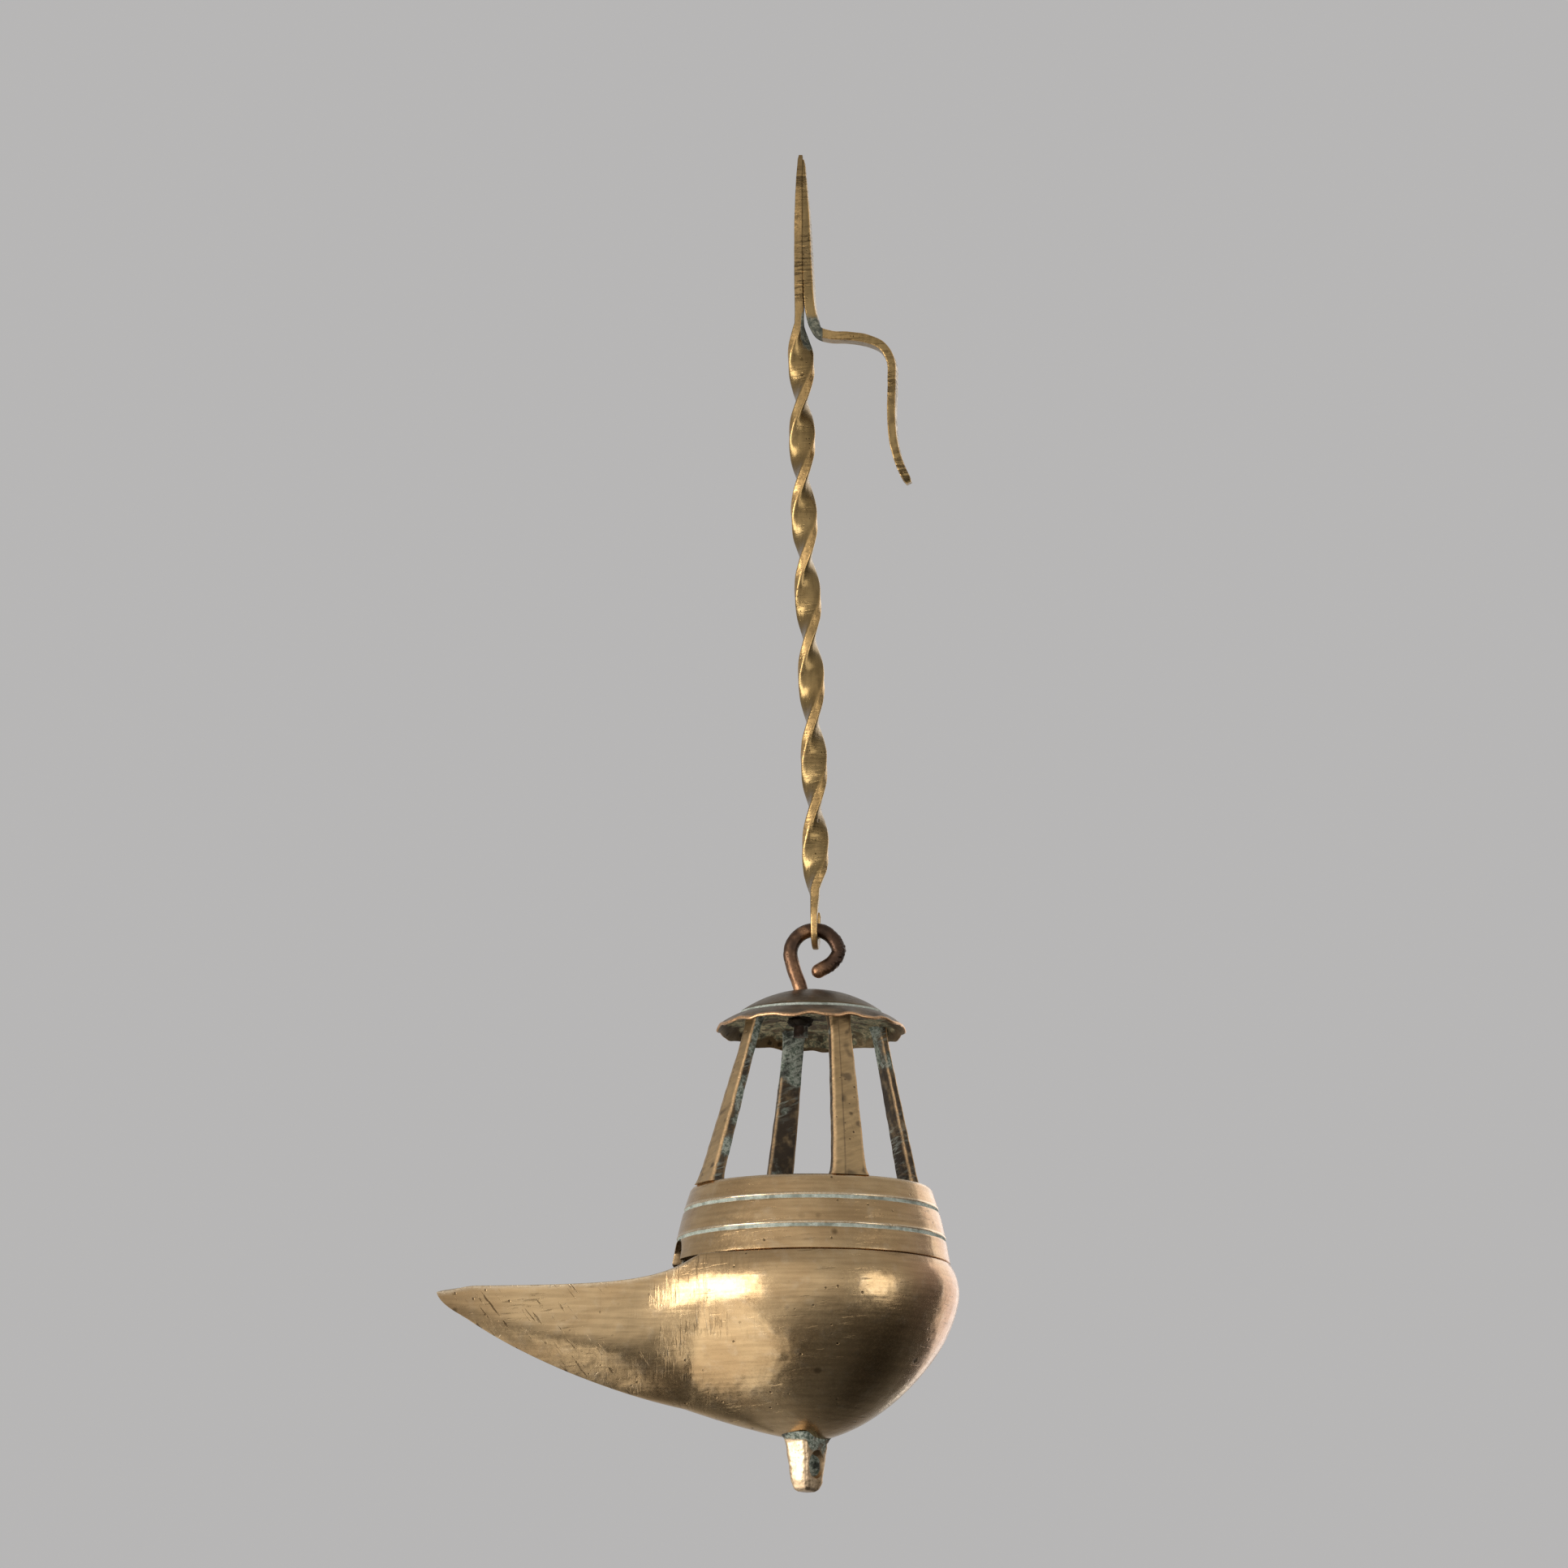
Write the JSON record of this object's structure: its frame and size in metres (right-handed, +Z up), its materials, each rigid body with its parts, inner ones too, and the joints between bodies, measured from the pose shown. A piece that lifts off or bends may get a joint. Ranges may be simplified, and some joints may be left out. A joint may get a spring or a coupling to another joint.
{
  "type": "hanging brass oil lamp",
  "caption": "Hanging brass oil lamp: a twisted strip hanger with a spike and side hook, a swivelling rod hook, a caged neck under a scalloped canopy, and a round bowl with a long open spout.",
  "frame": {"origin": "the worn flat on the underside of the hanger's side hook, where the lamp hangs on a nail or bracket", "axes": "+Z up, +X from the twisted shank towards the side hook, +Y away from the lamp's front; the hanger and the ring of the rod hook lie in the XZ plane, and the spout points 12 degrees off -X towards -Y"},
  "size_m": [0.1659, 0.0941, 0.4385],
  "materials": {
    "hanger_brass": "hammered strip brass, yellow gold with darker hammer and file marks and bright worn edges",
    "hook_copper": "dark red-brown copper alloy rod, worn bright in places, with dark pits",
    "canopy_brass": "brown brass, rubbed bright along the waved edge, crusted green and black underneath",
    "strut_brass": "cast brass, golden brown and spotted outside, dark with green and white crust inside",
    "bowl_brass": "polished brass with fine brushing, scratches, pits, rosy tarnish and pale verdigris in the incised lines",
    "lug_brass": "rough cast brass with dark pits and green verdigris"
  },
  "bodies": {
    "hanger": {"hanger_strip": "hanger_brass"},
    "hook": {"suspension_hook": "hook_copper", "stem_washer": "hook_copper"},
    "lamp": {"canopy_cap": "canopy_brass", "strut_front": "strut_brass", "strut_right": "strut_brass", "strut_back": "strut_brass", "strut_left": "strut_brass", "neck_collar": "bowl_brass", "oil_bowl": "bowl_brass", "bottom_lug": "lug_brass"}
  },
  "joints": [
    {"name": "hook_swing", "type": "hinge", "parent": "hanger", "child": "hook", "pos_m": [-0.0109, 0, -0.2024], "axis": [0, 1, 0], "range_deg": [-75, 75]},
    {"name": "lamp_swivel", "type": "hinge", "parent": "hook", "child": "lamp", "pos_m": [-0.0153, 0, -0.22], "axis": [0, 0, 1], "continuous": true}
  ]
}
